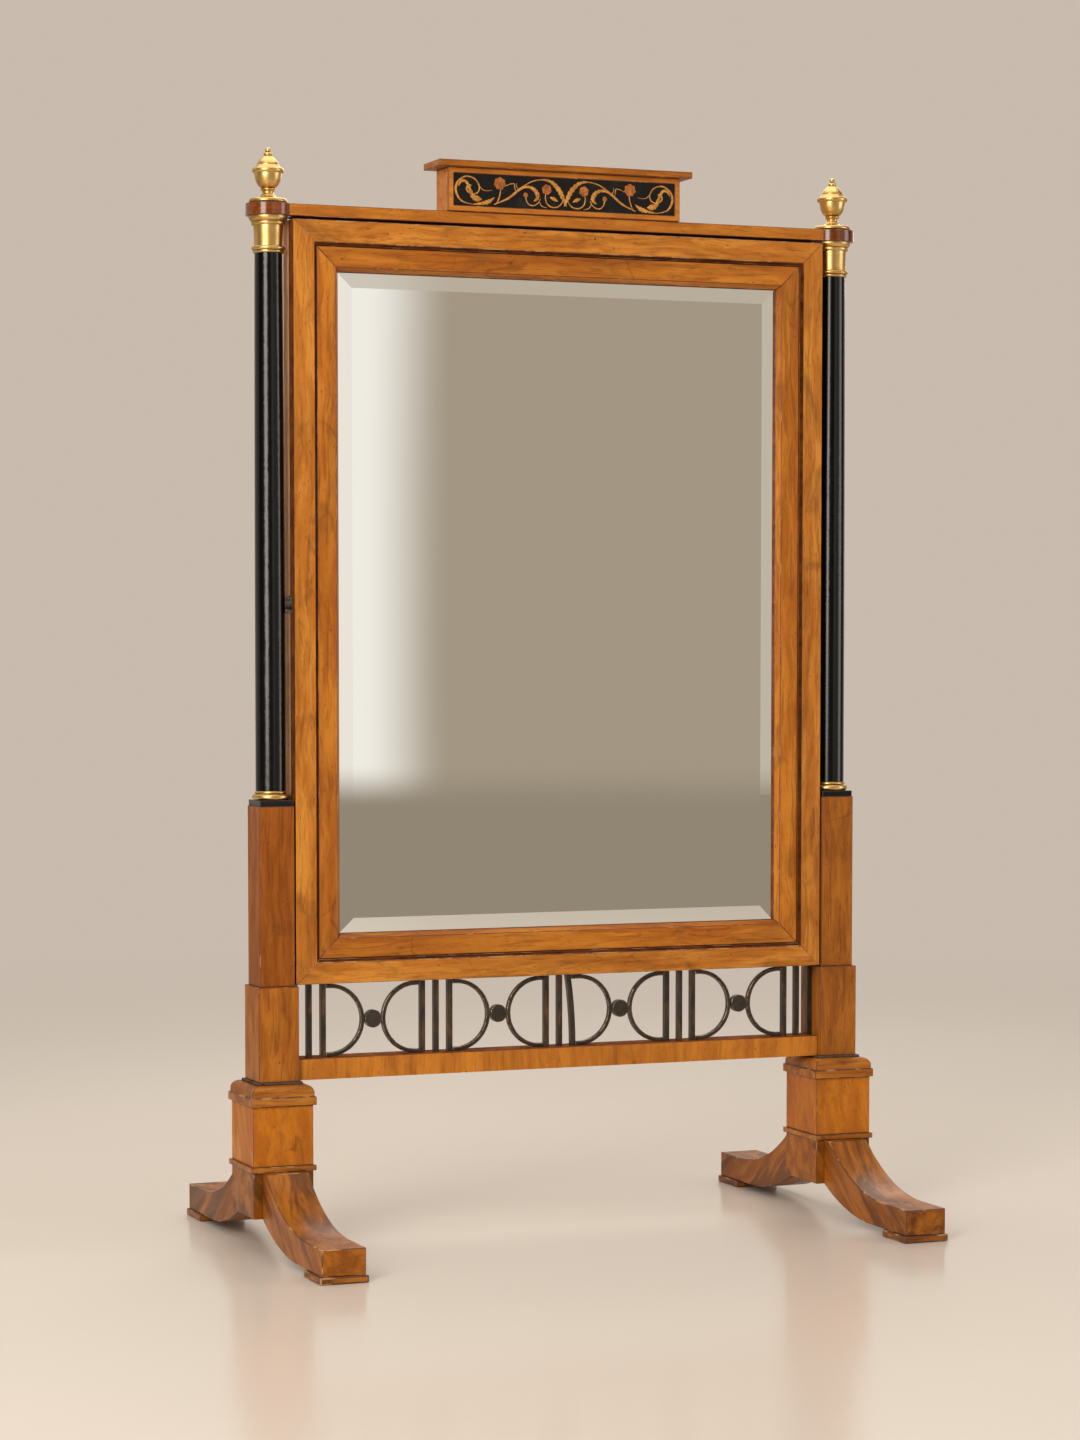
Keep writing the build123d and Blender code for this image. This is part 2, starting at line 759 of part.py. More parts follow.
def make_glass():
    """Mirror glass with a wide shallow bevel round its front."""
    bevel_back = glass_front + glass_bevel_drop
    with BuildPart() as glass:
        with BuildSketch(frontal(glass_back)):
            with Locations((0, tilt_height)):
                Rectangle(*opening(glass_edge))
        extrude(amount=glass_back - bevel_back)
        with BuildSketch(frontal(bevel_back)):
            with Locations((0, tilt_height)):
                Rectangle(*opening(glass_edge))
        with BuildSketch(frontal(glass_front)):
            with Locations((0, tilt_height)):
                Rectangle(*opening(glass_edge + glass_bevel_width))
        loft(ruled=True)
    save("mirror_glass", glass)


def make_back_board():
    with BuildPart() as board:
        with BuildSketch(frontal(glass_back + back_board_thickness)):
            with Locations((0, tilt_height)):
                Rectangle(*opening(rear_band + back_board_clearance))
        extrude(amount=back_board_thickness)
    save("back_board", board)


def make_cleats():
    """Glued blocks behind the board, two against each side of the rear frame's opening."""
    width, height = opening(rear_band)
    cleat_y = glass_back + back_board_thickness + cleat_size / 2
    with BuildPart() as cleats:
        with Locations((0, cleat_y, tilt_height)):
            with GridLocations(width - cleat_size, 1, 2, 1):
                with Locations((0, 0, -height / 4), (0, 0, height / 4)):
                    Box(cleat_size, cleat_size, cleat_length)
            with GridLocations(width / 2, 1, 2, 1):
                with Locations((0, 0, (cleat_size - height) / 2), (0, 0, (height - cleat_size) / 2)):
                    Box(cleat_length, cleat_size, cleat_size)
    save("back_cleats", cleats)


# Pivots
def make_pivot_pin(side):
    """Pin with a collar: fixed in the column, free in the plate."""
    seat = collar_seat(side)
    seat_to_plate = abs(seat.origin.X) - frame_half_width
    pin_length = pivot_depth_in_column + seat_to_plate + pivot_depth_in_frame
    with BuildPart() as pin:
        with Locations(seat):
            Cylinder(collar_radius, seat_to_plate - collar_gap, align=standing)
        with Locations(seat.offset(-pivot_depth_in_column)):
            Cylinder(pivot_radius, pin_length, align=standing)
    save(f"pivot_pin_{side_names[side]}", pin)


def make_pivot_plate(side):
    face = pivot_plane(side)
    with BuildPart() as plate:
        with Locations(Plane(face.origin + Vector(0, plate_offset, 0), x_dir=(0, 1, 0),
                             z_dir=(-side, 0, 0))):
            Box(plate_depth, plate_height, plate_thickness, align=standing)
        with Locations(face):
            Hole(pivot_radius + pivot_running_clearance)
        with Locations(screw_planes(side)):
            CounterSinkHole(screw_radius + dowel_clearance, screw_head_radius + dowel_clearance)
    save(f"pivot_plate_{side_names[side]}", plate)


def make_plate_screws():
    with BuildPart() as screws:
        for side in side_names:
            for plane in screw_planes(side):
                with Locations(plane.offset(-screw_head_height)):
                    Cone(screw_radius, screw_head_radius, screw_head_height, align=standing)
                with Locations(plane.offset(-screw_length)):
                    Cylinder(screw_radius, screw_length - screw_head_height, align=standing)
    save("plate_screws", screws)


for stand_side in side_names:
    for leg_end in end_names:
        make_leg(stand_side, leg_end)
    make_leg_block(stand_side)
    make_pedestal(stand_side)
    make_pedestal_cap(stand_side)
    make_post_plinth(stand_side)
    make_lower_post(stand_side)
    make_upper_post(stand_side)
    make_column_plinth(stand_side)
    make_column_base(stand_side)
    make_column(stand_side)
    make_capital(stand_side)
    make_rail_end(stand_side)
    make_finial(stand_side)
    make_pivot_pin(stand_side)
    make_pivot_plate(stand_side)
for frame_position in ("top", "bottom", "left", "right"):
    make_outer_frame(frame_position)
    make_inner_frame(frame_position)
    make_rear_frame(frame_position)
make_toe_pads()
make_top_rail()
make_bottom_rail()
make_crest()
make_fret_rods()
make_fret_half_rings()
make_fret_discs()
make_glass()
make_back_board()
make_cleats()
make_plate_screws()
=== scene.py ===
import math

import bmesh
import bpy
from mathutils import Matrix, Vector


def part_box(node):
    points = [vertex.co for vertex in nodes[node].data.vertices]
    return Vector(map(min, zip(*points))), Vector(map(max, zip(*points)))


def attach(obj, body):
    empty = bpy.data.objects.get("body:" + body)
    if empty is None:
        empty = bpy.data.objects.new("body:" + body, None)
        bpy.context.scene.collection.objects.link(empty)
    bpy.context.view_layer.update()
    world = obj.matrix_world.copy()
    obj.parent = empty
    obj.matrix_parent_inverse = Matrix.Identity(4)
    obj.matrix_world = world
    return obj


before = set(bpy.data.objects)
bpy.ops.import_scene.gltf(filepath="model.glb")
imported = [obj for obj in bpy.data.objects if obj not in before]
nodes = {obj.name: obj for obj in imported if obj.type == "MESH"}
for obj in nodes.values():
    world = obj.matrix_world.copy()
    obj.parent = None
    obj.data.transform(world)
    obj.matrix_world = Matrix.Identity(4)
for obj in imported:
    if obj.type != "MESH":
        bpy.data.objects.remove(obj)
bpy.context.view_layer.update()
SIDES = ("left", "right")
POSITIONS = ("top", "bottom", "left", "right")

# Camera at the photograph's place, in metres: yaw towards +X, pitch below the horizon
CAMERA_PLACE = (-2.261, -5.5229, 0.9978)
CAMERA_YAW = math.radians(21.955)
CAMERA_PITCH = math.radians(3.465)
CAMERA_LENS = 88.05
CAMERA_SENSOR = 36.0
CAMERA_SHIFT_Y = 0.0942
CAMERA_REACH = 100.0

# Polished woods in linear colour: light, middle and dark
HONEY = ((0.56, 0.22, 0.032, 1), (0.41, 0.135, 0.014, 1), (0.18, 0.045, 0.004, 1))
AMBER = ((0.52, 0.188, 0.02, 1), (0.375, 0.112, 0.009, 1), (0.16, 0.036, 0.004, 1))
RAIL = (AMBER[0], HONEY[1], AMBER[2])
STAND = ((0.46, 0.17, 0.022, 1), (0.31, 0.096, 0.009, 1), (0.11, 0.028, 0.003, 1))
PEDESTAL = ((0.54, 0.18, 0.012, 1), (0.41, 0.12, 0.006, 1), (0.22, 0.056, 0.003, 1))
LEG = ((0.37, 0.122, 0.011, 1), (0.24, 0.069, 0.005, 1), (0.085, 0.022, 0.002, 1))
POST = ((0.41, 0.14, 0.014, 1), (0.3, 0.09, 0.007, 1), (0.13, 0.03, 0.004, 1))
DEEP = ((0.3, 0.086, 0.008, 1), (0.225, 0.057, 0.004, 1), (0.11, 0.025, 0.003, 1))
RED = ((0.22, 0.052, 0.006, 1), (0.14, 0.03, 0.003, 1), (0.06, 0.012, 0.002, 1))
PLAIN = ((0.56, 0.33, 0.155, 1), (0.42, 0.225, 0.095, 1), (0.26, 0.125, 0.048, 1))
# Tan of the rear frames' sides, made paler as painted light, since they stand in the column's shade
SIDE_TAN_PAINTED_LIGHT = ((0.8, 0.42, 0.2, 1), (0.66, 0.31, 0.135, 1), PLAIN[2])
SMOKE = (0.075, 0.024, 0.006, 1)
PORE = (0.06, 0.018, 0.005, 1)
# Dark of handled arrises, and of the joints, where it is partly painted shade
EDGE_DARK = (0.07, 0.02, 0.005, 1)
EDGE_PALE = (0.62, 0.38, 0.17, 1)

# Woods without polish: light and dark. The gap, groove and rebate colours are painted shade for faces in the
# gaps round the frames and rails
PLINTH = ((0.13, 0.085, 0.055, 1), (0.025, 0.014, 0.008, 1))
GAP_SHADE = ((0.16, 0.05, 0.012, 1), (0.07, 0.02, 0.006, 1))
GROOVE_SHADE = ((0.1, 0.028, 0.006, 1), (0.025, 0.007, 0.002, 1))
REBATE_SHADE = ((0.24, 0.07, 0.013, 1), (0.09, 0.024, 0.005, 1))

# Lacquer, gilding, fretwork, metals, glass and the crest
LACQUER = (0.0016, 0.0017, 0.0019, 1)
LACQUER_WORN = (0.04, 0.031, 0.024, 1)
GILT_LIGHT = (0.72, 0.48, 0.185, 1)
GILT = (0.56, 0.345, 0.105, 1)
# Brown of the gilding's hollows: partly grime, partly painted shade
GILT_GRIME_AND_SHADE = (0.1, 0.048, 0.013, 1)
BRONZE = (0.022, 0.0165, 0.012, 1)
BRONZE_LIGHT = (0.046, 0.034, 0.023, 1)
# Paler colour of the fretwork's rounded arrises, a painted highlight
BRONZE_HIGHLIGHT = (0.24, 0.19, 0.14, 1)
BRONZE_WORN = (0.13, 0.055, 0.02, 1)
STEEL = (0.3, 0.28, 0.25, 1)
STEEL_DARK = (0.08, 0.07, 0.06, 1)
PLATE = (0.1, 0.068, 0.04, 1)
PLATE_DARK = (0.03, 0.02, 0.012, 1)
SILVER = (0.86, 0.875, 0.865, 1)
CREST_BLACK = (0.009, 0.0085, 0.008, 1)
INLAY_LIGHT = (0.62, 0.3, 0.06, 1)
INLAY = (0.42, 0.165, 0.026, 1)
INLAY_DARK = (0.11, 0.036, 0.007, 1)
ROSE_LIGHT = (0.5, 0.17, 0.035, 1)
ROSE = (0.3, 0.085, 0.018, 1)

# Sockets of the Mix node that carry colours
MIX_FACTOR = 0
MIX_FIRST = 6
MIX_SECOND = 7
MIX_RESULT = 2

# Each object's patterns start up to this many metres away from the next one's
PATTERN_SPREAD = 31.0
AXIS_ORDER = {"X": "XYZ", "Y": "YZX", "Z": "ZXY"}


class Tree:
    """Adds nodes to a node tree and links them."""

    def __init__(self, tree):
        self.tree = tree

    def add(self, kind, inputs=None, **settings):
        node = self.tree.nodes.new(kind)
        for name, value in settings.items():
            setattr(node, name, value)
        for name, value in (inputs or {}).items():
            self.set(node.inputs[name], value)
        return node

    def set(self, socket, value):
        """Gives an input the output of another node, or a constant."""
        if isinstance(value, bpy.types.NodeSocket):
            self.tree.links.new(value, socket)
        else:
            socket.default_value = value

    def calculate(self, kind, operation, first, second):
        node = self.add(kind, operation=operation)
        self.set(node.inputs[0], first)
        self.set(node.inputs[1], second)
        return node.outputs[0]

    def math(self, operation, first, second=0.0):
        return self.calculate("ShaderNodeMath", operation, first, second)

    def vector_math(self, operation, first, second):
        return self.calculate("ShaderNodeVectorMath", operation, first, second)

    def noise(self, vector, scale, detail=3.0, roughness=0.5, distortion=0.0, stretch=None):
        """Noise of so many features per metre, drawn out along the first axis by a stretch under one."""
        if stretch:
            vector = self.vector_math("MULTIPLY", vector, (stretch, 1, 1))
        node = self.add("ShaderNodeTexNoise", {
            "Vector": vector, "Scale": scale, "Detail": detail, "Roughness": roughness,
            "Distortion": distortion})
        return node.outputs["Fac"]

    def step(self, value, low, high, start=0.0, end=1.0):
        """Smooth change from start to end as a value goes from low to high."""
        node = self.add("ShaderNodeMapRange", {
            "Value": value, "From Min": low, "From Max": high, "To Min": start, "To Max": end},
            interpolation_type="SMOOTHSTEP")
        return node.outputs["Result"]

    def mix(self, factor, first, second):
        node = self.add("ShaderNodeMix", data_type="RGBA", blend_type="MIX")
        self.set(node.inputs[MIX_FACTOR], factor)
        self.set(node.inputs[MIX_FIRST], first)
        self.set(node.inputs[MIX_SECOND], second)
        return node.outputs[MIX_RESULT]

    def bump(self, height, strength, distance):
        node = self.add("ShaderNodeBump", {
            "Height": height, "Strength": strength, "Distance": distance})
        return node.outputs["Normal"]

    def openness(self, distance, samples):
        """One on an open surface, and less in joints and hollows that are nearer than the distance."""
        node = self.add("ShaderNodeAmbientOcclusion", {"Distance": distance}, samples=samples)
        return node.outputs["AO"]

    def object_place(self, axis="X"):
        """Object coordinates with the named axis first, moved on by an amount of each object's own."""
        place = self.add("ShaderNodeTexCoord").outputs["Object"]
        split = self.add("ShaderNodeSeparateXYZ", {"Vector": place})
        joined = self.add("ShaderNodeCombineXYZ", {
            socket: split.outputs[source] for socket, source in zip("XYZ", AXIS_ORDER[axis])})
        random = self.add("ShaderNodeObjectInfo").outputs["Random"]
        return self.vector_math("ADD", joined.outputs["Vector"],
                                self.math("MULTIPLY", random, PATTERN_SPREAD))


def new_material(name, **constants):
    """Material with one Principled shader; constants go straight to its sockets."""
    material = bpy.data.materials.new(name)
    material.use_nodes = True
    shader = material.node_tree.nodes["Principled BSDF"]
    for socket, value in constants.items():
        shader.inputs[socket.replace("_", " ")].default_value = value
    return material, Tree(material.node_tree), shader


def finish_surface(tree, shader, colour, rough, bump):
    """Links the colour, roughness and bump of a material to its shader."""
    for socket, value in (("Base Color", colour), ("Roughness", rough), ("Normal", bump)):
        tree.set(shader.inputs[socket], value)


# Wood: soft bands and finer lines, fibres and pores that follow the grain, and smoky figure
BAND_WIDTH = 0.022
LINES_PER_BAND = 4
SWAY_Y = 0.035
SWAY_Z = 0.03
CLOUD_TWIST = 3.5
VEIN_WIDTH = 0.011
VEIN_STRENGTH = 0.42
PORE_STRENGTH = 0.62
# Reach of the painted shade in joints and hollows, in metres
JOINT_SHADE_REACH = 0.005


def grain_place(tree, axis, turn):
    """Object coordinates with the grain first, turned where the piece is cut at a slant."""
    place = tree.object_place(axis)
    if turn:
        turned = tree.add("ShaderNodeVectorRotate", {"Vector": place, "Rotation": turn},
                          rotation_type="EULER_XYZ")
        place = turned.outputs["Vector"]
    return place


def swaying(tree, place):
    """A place moved a little across the grain, so that the grain wanders."""
    sway = tree.noise(place, scale=5.0, detail=2.0)
    shift = tree.add("ShaderNodeCombineXYZ", {
        "Y": tree.math("MULTIPLY", sway, SWAY_Y), "Z": tree.math("MULTIPLY", sway, SWAY_Z)})
    return tree.vector_math("ADD", place, shift.outputs["Vector"])


def smoky(tree, colour, place, patches, smoke, reach):
    """A colour with smoky clouds and thin dark contours over it, longer where the reach is small."""
    clouds = tree.noise(place, 17.0, detail=4.0, roughness=0.6, distortion=CLOUD_TWIST * reach, stretch=reach)
    colour = tree.mix(tree.step(clouds, 0.49, 0.5 + reach / 2, end=smoke), colour, SMOKE)
    contours = tree.noise(place, 13.0, detail=2.0, roughness=0.5, distortion=0.6, stretch=reach)
    from_contour = tree.math("ABSOLUTE", tree.math("SUBTRACT", contours, 0.5))
    veins = tree.math("MULTIPLY", tree.step(from_contour, 0.0, VEIN_WIDTH, start=VEIN_STRENGTH, end=0.0),
                      tree.step(patches, 0.5, 0.64))
    return tree.mix(veins, colour, SMOKE)


def polished_wood(name, axis, colours, smoke, gloss=0.36, coat=0.06, turn=None, fineness=0.5,
                  smoke_reach=0.45):
    """Wood under old polish, with its grain along an axis, and darker where it meets its neighbours: partly
    grime in the joints, partly painted shade.
    """
    material, tree, shader = new_material(
        name, Coat_Weight=coat, Coat_Roughness=0.15, Specular_IOR_Level=0.16)
    light, middle, dark = colours
    place = grain_place(tree, axis, turn)
    grain = swaying(tree, place)
    bands = tree.noise(grain, 1 / BAND_WIDTH, detail=4.0, roughness=0.55, distortion=0.35, stretch=0.14)
    lines = tree.noise(grain, LINES_PER_BAND / BAND_WIDTH, roughness=0.6, distortion=0.8, stretch=0.06)
    fibres = tree.noise(grain, 900.0, detail=2.0, roughness=0.7, stretch=0.035)
    pores = tree.step(tree.noise(grain, 620.0, detail=1.0, roughness=0.4, stretch=0.12), 0.69, 0.78)
    patches = tree.noise(place, 6.0, detail=2.0, stretch=0.3)
    specks = tree.step(tree.noise(place, 240.0, detail=2.0, stretch=0.5), 0.7, 0.76, end=0.8)
    # Painted shade, partly grime: darker within a few millimetres of other surfaces
    joint_grime_and_shade = tree.step(tree.openness(JOINT_SHADE_REACH, samples=4), 0.35, 0.85, start=0.72, end=0.0)

    colour = tree.mix(tree.step(bands, 0.36, 0.62), light, middle)
    colour = tree.mix(tree.step(lines, 0.46, 0.68, end=fineness), colour, dark)
    colour = tree.mix(tree.step(patches, 0.42, 0.72, end=0.34), colour, dark)
    colour = tree.mix(tree.step(fibres, 0.35, 0.8, end=0.4 * fineness), colour, dark)
    colour = smoky(tree, colour, place, patches, smoke, smoke_reach)
    colour = tree.mix(tree.math("MULTIPLY", pores, PORE_STRENGTH), colour, PORE)
    colour = tree.mix(specks, colour, PORE)
    colour = tree.mix(joint_grime_and_shade, colour, EDGE_DARK)

    rough = tree.step(bands, 0.2, 0.8, start=gloss - 0.05, end=gloss + 0.08)
    height = tree.math("SUBTRACT", tree.math("MULTIPLY", fibres, 0.5), pores)
    height = tree.math("ADD", height, tree.math("MULTIPLY", patches, 3.0))
    finish_surface(tree, shader, colour, rough, tree.bump(height, strength=0.22, distance=0.0006))
    return material


def worn_edge(name, base, paleness=0.35, knock_level=0.58):
    """The narrow arris of a piece: darkened by handling, with pale knocks."""
    material, tree, shader = new_material(name, Coat_Weight=0.15, Coat_Roughness=0.25)
    place = tree.object_place()
    dirt = tree.step(tree.noise(place, 26.0, roughness=0.6), 0.3, 0.66, end=0.6)
    knocks = tree.step(tree.noise(place, 30.0, detail=4.0, roughness=0.6),
                       knock_level, knock_level + 0.1, end=paleness)
    colour = tree.mix(dirt, base, EDGE_DARK)
    colour = tree.mix(knocks, colour, EDGE_PALE)
    rough = tree.step(dirt, 0.0, 1.0, start=0.38, end=0.6)
    finish_surface(tree, shader, colour, rough, tree.bump(knocks, strength=0.4, distance=0.0006))
    return material


def bare_wood(name, light, dark):
    """Grimy wood without polish; given the gap, groove or rebate colours, it is painted shade."""
    material, tree, shader = new_material(name, Specular_IOR_Level=0.05)
    place = tree.object_place()
    darkening = tree.noise(place, 34.0, detail=4.0, roughness=0.65)
    grain = tree.noise(place, 600.0, detail=2.0, roughness=0.6, stretch=0.1)
    colour = tree.mix(tree.step(darkening, 0.3, 0.7), light, dark)
    rough = tree.step(grain, 0.2, 0.8, start=0.75, end=0.95)
    finish_surface(tree, shader, colour, rough, tree.bump(grain, strength=0.3, distance=0.0005))
    return material


def black_lacquer():
    """Old black lacquer, worn through in fine streaks along the column."""
    material, tree, shader = new_material(
        "black_lacquer", Coat_Weight=0.62, Coat_Roughness=0.2, Specular_IOR_Level=0.08)
    place = tree.object_place("Z")
    marks = tree.noise(place, 90.0, detail=4.0, roughness=0.7, stretch=0.2)
    rubs = tree.noise(place, 22.0, roughness=0.6)
    waves = tree.noise(place, 30.0, detail=2.0, stretch=0.1)
    colour = tree.mix(tree.step(marks, 0.66, 0.76, end=0.5), LACQUER, LACQUER_WORN)
    rough = tree.step(rubs, 0.3, 0.75, start=0.16, end=0.3)
    height = tree.math("ADD", waves, tree.math("MULTIPLY", marks, 0.25))
    finish_surface(tree, shader, colour, rough, tree.bump(height, strength=0.02, distance=0.0004))
    return material


def gilt():
    """Old gilding: bright on the rounds, brown in the hollows and where it meets other parts, partly grime and
    partly painted shade, with fine pitting.
    """
    material, tree, shader = new_material("gilt", Metallic=1.0, Coat_Weight=0.1, Coat_Roughness=0.3)
    place = tree.object_place("Z")
    cloud = tree.noise(place, 42.0)
    pits = tree.step(tree.noise(place, 420.0, detail=2.0, roughness=0.6), 0.66, 0.76)
    # Painted shade, partly grime: darker brown in hollows and where the gilding meets other parts
    hollow_shade_and_grime = tree.step(tree.openness(JOINT_SHADE_REACH, samples=16), 0.25, 0.85, start=1.0, end=0.0)
    darkening = tree.math("MAXIMUM", hollow_shade_and_grime, tree.math("MULTIPLY", pits, 0.15))
    colour = tree.mix(tree.step(cloud, 0.35, 0.7), GILT_LIGHT, GILT)
    colour = tree.mix(darkening, colour, GILT_GRIME_AND_SHADE)
    rough = tree.math("ADD", tree.step(cloud, 0.3, 0.7, start=0.34, end=0.41),
                      tree.math("MULTIPLY", darkening, 0.25))
    height = tree.math("SUBTRACT", cloud, tree.math("MULTIPLY", pits, 0.2))
    finish_surface(tree, shader, colour, rough, tree.bump(height, strength=0.04, distance=0.0003))
    return material


def dark_bronze(name, axis, wear):
    """Blackened fretwork, rubbed brown in streaks along an axis."""
    material, tree, shader = new_material(
        name, Metallic=0.25, Coat_Weight=0.2, Coat_Roughness=0.22, Specular_IOR_Level=0.3)
    place = tree.object_place(axis)
    streaks = tree.noise(place, 120.0, detail=4.0, roughness=0.65, stretch=0.16)
    cloud = tree.noise(place, 38.0, roughness=0.6)
    grain = tree.noise(place, 800.0, detail=2.0, roughness=0.6)
    colour = tree.mix(tree.step(cloud, 0.35, 0.7), BRONZE, BRONZE_LIGHT)
    colour = tree.mix(tree.step(streaks, 0.5, 0.66, end=wear), colour, BRONZE_WORN)
    rough = tree.step(cloud, 0.3, 0.7, start=0.32, end=0.5)
    height = tree.math("ADD", streaks, tree.math("MULTIPLY", grain, 0.4))
    finish_surface(tree, shader, colour, rough, tree.bump(height, strength=0.25, distance=0.0005))
    return material


def old_metal(name, bright, dark):
    """Tarnished metal with fine scratches."""
    material, tree, shader = new_material(name, Metallic=1.0)
    place = tree.object_place()
    tarnish = tree.step(tree.noise(place, 160.0, detail=4.0, roughness=0.65), 0.4, 0.68)
    scratches = tree.noise(place, 1500.0, detail=2.0, stretch=0.05)
    colour = tree.mix(tarnish, bright, dark)
    rough = tree.step(tarnish, 0.0, 1.0, start=0.3, end=0.55)
    finish_surface(tree, shader, colour, rough, tree.bump(scratches, strength=0.15, distance=0.0003))
    return material


def mirror_silver():
    """Silvered glass: clear reflection, with the faintest waviness and a few dull specks."""
    material, tree, shader = new_material("mirror_silver", Metallic=1.0, Specular_IOR_Level=0.5)
    place = tree.object_place()
    veil = tree.noise(place, 3.0, detail=2.0)
    specks = tree.step(tree.noise(place, 260.0, detail=2.0), 0.8, 0.84, end=0.5)
    colour = tree.mix(specks, SILVER, BRONZE_LIGHT)
    rough = tree.step(veil, 0.3, 0.8, start=0.0, end=0.025)
    finish_surface(tree, shader, colour, rough, tree.bump(veil, strength=0.02, distance=0.001))
    return material


def painted_panel():
    """Black ground of the crest, slightly crazed."""
    material, tree, shader = new_material("painted_panel", Specular_IOR_Level=0.12)
    place = tree.object_place()
    rubs = tree.noise(place, 60.0, detail=4.0, roughness=0.65)
    crazing = tree.add("ShaderNodeTexVoronoi", {"Vector": place, "Scale": 420.0},
                       feature="DISTANCE_TO_EDGE")
    cracks = tree.step(crazing.outputs["Distance"], 0.0, 0.06, start=1.0, end=0.0)
    colour = tree.mix(tree.step(rubs, 0.5, 0.75, end=0.3), CREST_BLACK, LACQUER_WORN)
    rough = tree.step(rubs, 0.3, 0.7, start=0.32, end=0.5)
    height = tree.math("SUBTRACT", rubs, cracks)
    finish_surface(tree, shader, colour, rough, tree.bump(height, strength=0.2, distance=0.0003))
    return material


STROKE_STRETCH = (1, 1, 0.3)
STROKE_HOLLOW = 0.0012


def inlay(name, light, middle):
    """Scrollwork of the crest, shaded darker in strokes and at its edges."""
    material, tree, shader = new_material(name, Specular_IOR_Level=0.25)
    place = tree.object_place()
    shade = tree.noise(place, 120.0, detail=4.0, roughness=0.65, distortion=0.8)
    strokes = tree.noise(tree.vector_math("MULTIPLY", place, STROKE_STRETCH), 900.0, detail=2.0, roughness=0.6)
    edges = tree.step(tree.openness(STROKE_HOLLOW, samples=8), 0.3, 0.9, start=0.8, end=0.0)
    colour = tree.mix(tree.step(shade, 0.32, 0.6), light, middle)
    colour = tree.mix(tree.step(shade, 0.55, 0.75, end=0.7), colour, INLAY_DARK)
    colour = tree.mix(tree.step(strokes, 0.45, 0.7, end=0.45), colour, INLAY_DARK)
    colour = tree.mix(edges, colour, INLAY_DARK)
    rough = tree.step(shade, 0.3, 0.7, start=0.35, end=0.5)
    finish_surface(tree, shader, colour, rough, tree.bump(strokes, strength=0.3, distance=0.0003))
    return material


# Widths of the rounded arrises, in metres, and the modifiers that make them
LEG_EDGE = 0.0015
BLOCK_EDGE = 0.0012
PLINTH_EDGE = 0.0008
RAIL_END_EDGE = 0.001
TOE_EDGE = 0.0025
FRET_EDGE = 0.0014
FRAME_EDGE = 0.0009
CLEAT_EDGE = 0.0015
WELD_REACH = 0.00001
FLAT_ANGLE = math.radians(0.4)
ARRIS_ANGLE = math.radians(32)
ARRIS_SEGMENTS = 2
ARRIS_SLOT = 1


def soften_edges(node, width):
    """Narrow rounded arrises on a square-edged CAD node, made by modifiers alone."""
    weld = node.modifiers.new("weld", "WELD")
    weld.merge_threshold = WELD_REACH
    plain = node.modifiers.new("plain", "DECIMATE")
    plain.decimate_type = "DISSOLVE"
    plain.angle_limit = FLAT_ANGLE
    bevel = node.modifiers.new("bevel", "BEVEL")
    bevel.width = width
    bevel.segments = ARRIS_SEGMENTS
    bevel.limit_method = "ANGLE"
    bevel.angle_limit = ARRIS_ANGLE
    bevel.material = ARRIS_SLOT
    bevel.miter_outer = "MITER_ARC"
    normals = node.modifiers.new("normals", "WEIGHTED_NORMAL")
    normals.keep_sharp = False
    for polygon in node.data.polygons:
        polygon.use_smooth = True


def clothe(name, *materials, edge=None):
    """Puts materials on a CAD node; given an edge's width, the second is on its rounded arrises."""
    mesh = nodes[name].data
    mesh.materials.clear()
    for material in materials:
        mesh.materials.append(material)
    for polygon in mesh.polygons:
        polygon.material_index = 0
    if edge:
        soften_edges(nodes[name], edge)


def repaint_faces(name, material, wanted):
    """Gives the faces of a CAD node that a test picks a material of their own."""
    mesh = nodes[name].data
    mesh.materials.append(material)
    for polygon in mesh.polygons:
        if wanted(polygon.normal, polygon.center):
            polygon.material_index = len(mesh.materials) - 1


# Kinds of wood; the grain of the legs and pedestals is turned out of the straight
LEG_TURN = (0.0, 0.12, 0.62)
FRONT_LEG_TURN = (0.0, 0.12, -0.62)
PEDESTAL_TURN = (0.0, 0.3, 0.12)
LEG_FIGURE = {"colours": LEG, "fineness": 0.3, "smoke_reach": 0.16}
WOODS = {
    "pedestal": {"colours": PEDESTAL, "smoke": 0.3, "fineness": 0.25, "turn": PEDESTAL_TURN},
    "leg": {**LEG_FIGURE, "smoke": 0.8, "turn": LEG_TURN},
    "front_leg": {**LEG_FIGURE, "smoke": 0.75, "turn": FRONT_LEG_TURN},
    "back_leg": {**LEG_FIGURE, "smoke": 0.75, "turn": LEG_TURN},
    "deep": {"colours": DEEP, "smoke": 0.4},
    "frame": {"colours": HONEY, "smoke": 0.45},
    "inner": {"colours": AMBER, "smoke": 0.35},
    "stand": {"colours": STAND, "smoke": 0.75},
    "post": {"colours": POST, "smoke": 0.4},
    "rail": {"colours": RAIL, "smoke": 0.3, "fineness": 0.32},
    "red": {"colours": RED, "smoke": 0.3, "gloss": 0.24, "coat": 0.85},
    "plain": {"colours": PLAIN, "smoke": 0.15, "gloss": 0.62, "coat": 0.0},
}
EDGES = {
    "frame": {"paleness": 0.42, "knock_level": 0.47},
    "inner": {"knock_level": 0.55},
    "front_leg": {"paleness": 0.6, "knock_level": 0.52},
    "back_leg": {"paleness": 0.6, "knock_level": 0.52},
    "stand": {"paleness": 0.45, "knock_level": 0.53},
    "leg": {"paleness": 0.45, "knock_level": 0.53},
}
finishes = {}


def wood(kind, axis):
    """Wood of one kind with its grain along one axis, and the same wood's worn edge."""
    if (kind, axis) not in finishes:
        look = WOODS[kind]
        dark = look["colours"][-1]
        finishes[kind, axis] = (
            polished_wood(f"{kind}_wood_{axis.lower()}", axis, **look),
            worn_edge(f"{kind}_edge_{axis.lower()}", dark, **EDGES.get(kind, {})))
    return finishes[kind, axis]


